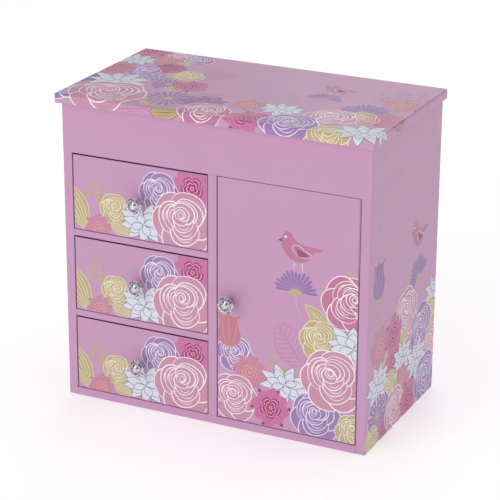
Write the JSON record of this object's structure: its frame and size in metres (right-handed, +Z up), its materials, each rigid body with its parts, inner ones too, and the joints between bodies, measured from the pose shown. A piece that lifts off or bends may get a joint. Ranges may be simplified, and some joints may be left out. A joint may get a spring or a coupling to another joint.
{
  "type": "ballerina jewellery box",
  "caption": "Paper-covered jewellery box with a lift-up lid over a tray, drawers beside a tall necklace door, and a wind-up musical movement that turns a spring-mounted dancer.",
  "frame": {"origin": "middle of the case's footprint, on the surface that the box stands on", "axes": "+Z up, +X to the right seen from the front, the front with drawers and door faces -Y"},
  "size_m": [0.268, 0.1761, 0.255],
  "materials": {
    "board": "fibreboard covered in satin printed paper",
    "lined_board": "board covered in short-pile velour",
    "velour": "short-pile velour over foam",
    "knob_crystal": "clear, polished facets",
    "knob_metal": "polished",
    "steel": "satin",
    "magnet": "satin",
    "hinge_metal": "plated, satin",
    "brass": "satin",
    "key_metal": "polished",
    "governor_plastic": "matte",
    "mirror_glass": "silvered",
    "mirror_frame": "satin",
    "spring_steel": "bright",
    "dancer_plastic": "painted, satin",
    "tulle": "sheer, stiffened"
  },
  "bodies": {
    "case": {"back_panel": "board", "base_panel": "board", "case_hinge_leaves": "hinge_metal", "chain_pocket": "velour", "comb_screws": "steel", "door_magnet": "magnet", "door_stop_block": "board", "drawer_back_wall": "board", "drawer_shelf_lower": "board", "drawer_shelf_upper": "board", "header_panel": "board", "lid_hinge_pins": "steel", "movement_frame": "steel", "movement_screws": "steel", "music_comb": "steel", "necklace_hooks": "brass", "partition": "board", "ring_rolls": "velour", "side_panel_left": "board", "side_panel_right": "board", "spindle_bush": "brass", "tray_divider_cross": "lined_board", "tray_divider_long": "lined_board", "tray_floor": "board"},
    "lid": {"lid_panel": "board", "lid_mirror": "mirror_glass", "mirror_frame": "mirror_frame", "lid_hinge_leaves": "hinge_metal"},
    "door": {"door_panel": "board", "door_pivot_pins": "steel", "door_knob_foot": "knob_metal", "door_knob": "knob_crystal", "door_strike": "steel"},
    "winding": {"winding_key": "key_metal", "mainspring_barrel": "brass"},
    "cylinder": {"music_cylinder": "brass", "dancer_spring_lower": "spring_steel"},
    "governor": {"governor_wheel": "brass"},
    "fan": {"governor_fan": "governor_plastic"},
    "plunger": {"stop_plunger": "steel"},
    "dancer_bend": {"dancer_spring_middle": "spring_steel"},
    "dancer": {"dancer_figure": "dancer_plastic", "dancer_tutu": "tulle", "dancer_spring_upper": "spring_steel"},
    "bottom_drawer": {"bottom_drawer_front": "board", "bottom_drawer_walls": "lined_board", "bottom_drawer_bottom": "lined_board", "bottom_drawer_knob_foot": "knob_metal", "bottom_drawer_knob": "knob_crystal"},
    "middle_drawer": {"middle_drawer_front": "board", "middle_drawer_walls": "lined_board", "middle_drawer_bottom": "lined_board", "middle_drawer_knob_foot": "knob_metal", "middle_drawer_knob": "knob_crystal"},
    "top_drawer": {"top_drawer_front": "board", "top_drawer_walls": "lined_board", "top_drawer_bottom": "lined_board", "top_drawer_knob_foot": "knob_metal", "top_drawer_knob": "knob_crystal"}
  },
  "joints": [
    {"name": "lid_hinge", "type": "hinge", "parent": "case", "child": "lid", "pos_m": [0, 0.0736, 0.247], "axis": [-1, 0, 0], "range_deg": [0, 100]},
    {"name": "door_hinge", "type": "hinge", "parent": "case", "child": "door", "pos_m": [0.1195, -0.0687, 0.0071], "axis": [0, 0, 1], "range_deg": [0, 100]},
    {"name": "bottom_drawer_slide", "type": "slide", "parent": "case", "child": "bottom_drawer", "axis": [0, -1, 0], "range_m": [0, 0.09]},
    {"name": "middle_drawer_slide", "type": "slide", "parent": "case", "child": "middle_drawer", "axis": [0, -1, 0], "range_m": [0, 0.09]},
    {"name": "top_drawer_slide", "type": "slide", "parent": "case", "child": "top_drawer", "axis": [0, -1, 0], "range_m": [0, 0.09]},
    {"name": "key_turn", "type": "hinge", "parent": "case", "child": "winding", "pos_m": [-0.0631, 0.0715, 0.16], "axis": [0, 1, 0], "continuous": true},
    {"name": "cylinder_turn", "type": "hinge", "parent": "case", "child": "cylinder", "pos_m": [-0.0631, 0.0504, 0.1736], "axis": [0, 0, 1], "continuous": true},
    {"name": "governor_wheel_turn", "type": "hinge", "parent": "case", "child": "governor", "pos_m": [-0.05098, 0.0504, 0.1944], "axis": [0, 0, 1], "continuous": true},
    {"name": "governor_fan_spin", "type": "hinge", "parent": "case", "child": "fan", "pos_m": [-0.04326, 0.0504, 0.1944], "axis": [0, 0, 1], "continuous": true},
    {"name": "dancer_bend", "type": "hinge", "parent": "case", "child": "dancer_bend", "pos_m": [-0.0631, 0.0504, 0.228], "axis": [-1, 0, 0], "range_deg": [0, 90]},
    {"name": "dancer_spin", "type": "hinge", "parent": "dancer_bend", "child": "dancer", "pos_m": [-0.0631, 0.0504, 0.228], "axis": [0, -1, 0], "continuous": true},
    {"name": "stop_plunger_slide", "type": "slide", "parent": "case", "child": "plunger", "axis": [0, 0, 1], "range_m": [0, 0.005]}
  ],
  "couplings": [
    {"joint": "cylinder_turn", "follows": "key_turn", "ratio": -3},
    {"joint": "governor_wheel_turn", "follows": "key_turn", "ratio": 15},
    {"joint": "governor_fan_spin", "follows": "key_turn", "ratio": -56.25},
    {"joint": "dancer_spin", "follows": "key_turn", "ratio": -3},
    {"joint": "dancer_bend", "follows": "lid_hinge", "ratio": 0.9},
    {"joint": "stop_plunger_slide", "follows": "lid_hinge", "m_per_rad": 0.00286}
  ]
}
